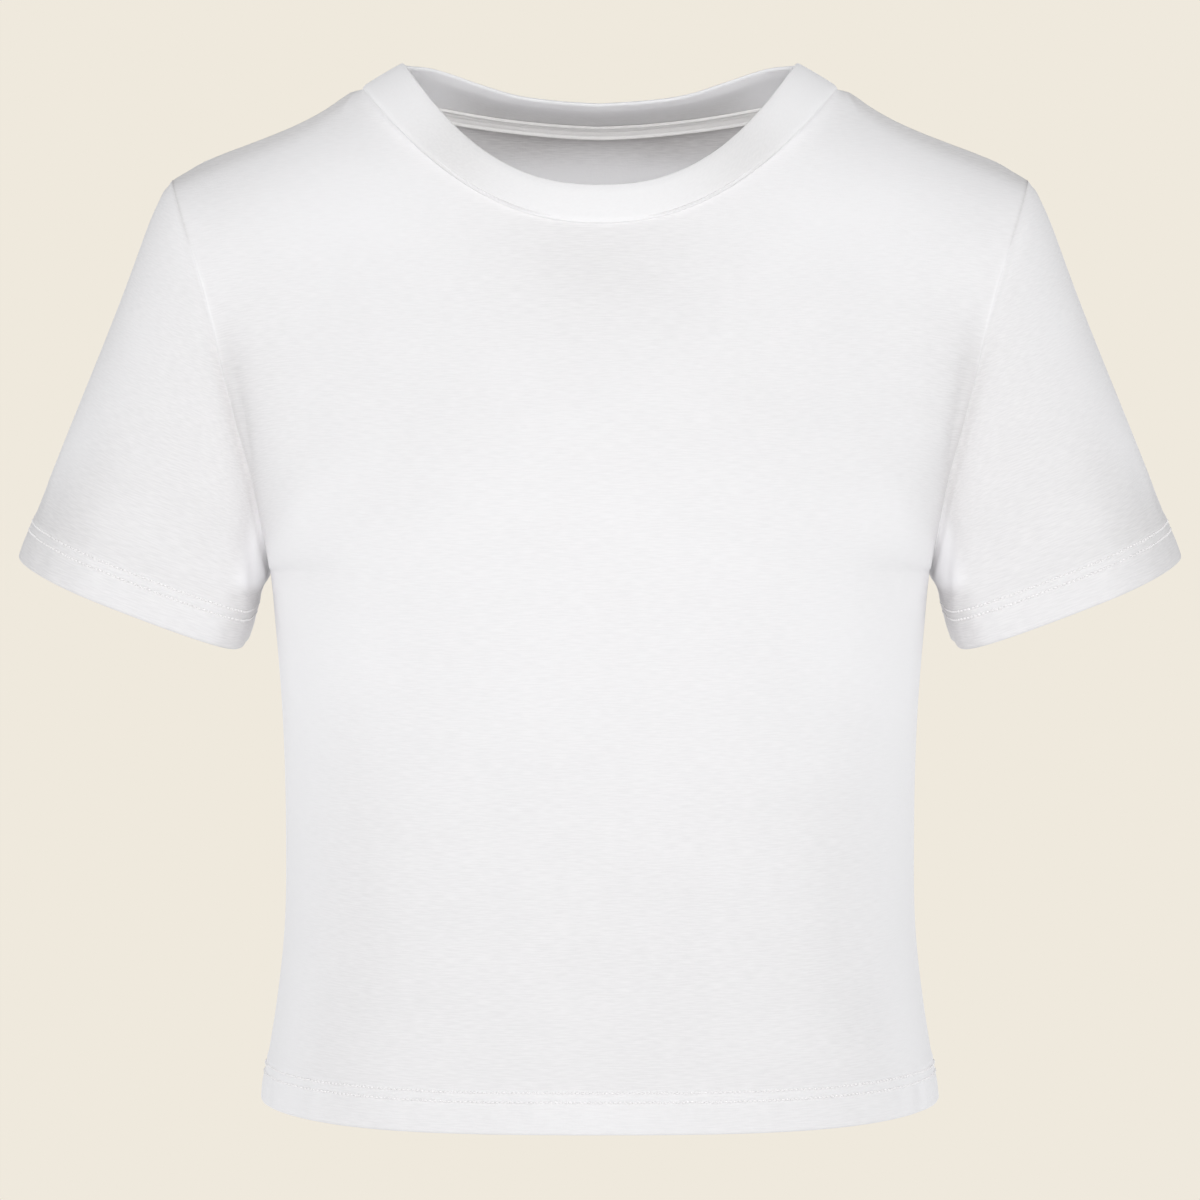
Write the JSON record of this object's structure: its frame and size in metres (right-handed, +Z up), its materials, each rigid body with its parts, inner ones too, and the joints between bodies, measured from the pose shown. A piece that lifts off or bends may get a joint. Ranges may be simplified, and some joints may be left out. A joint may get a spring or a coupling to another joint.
{
  "type": "cropped t-shirt in its worn, hollow form",
  "caption": "Cropped short-sleeved T-shirt in white cotton jersey: hollow worn form with a crew neckband, set-in sleeves and turned hems.",
  "frame": {"origin": "midway between the two neck points, where the shoulder seams meet the neckband, and about a millimetre below them, where the wearer's shoulders carry the garment", "axes": "+X towards the wearer's left sleeve, -Y the front, +Z up towards the collar"},
  "size_m": [0.5454, 0.2143, 0.492],
  "materials": {
    "jersey": "matte",
    "rib": "matte",
    "tape": "matte"
  },
  "bodies": {
    "root": {"front_panel": "jersey", "back_panel": "jersey", "sleeve_left": "jersey", "sleeve_right": "jersey", "neckband": "rib", "neck_tape": "tape"}
  },
  "joints": []
}
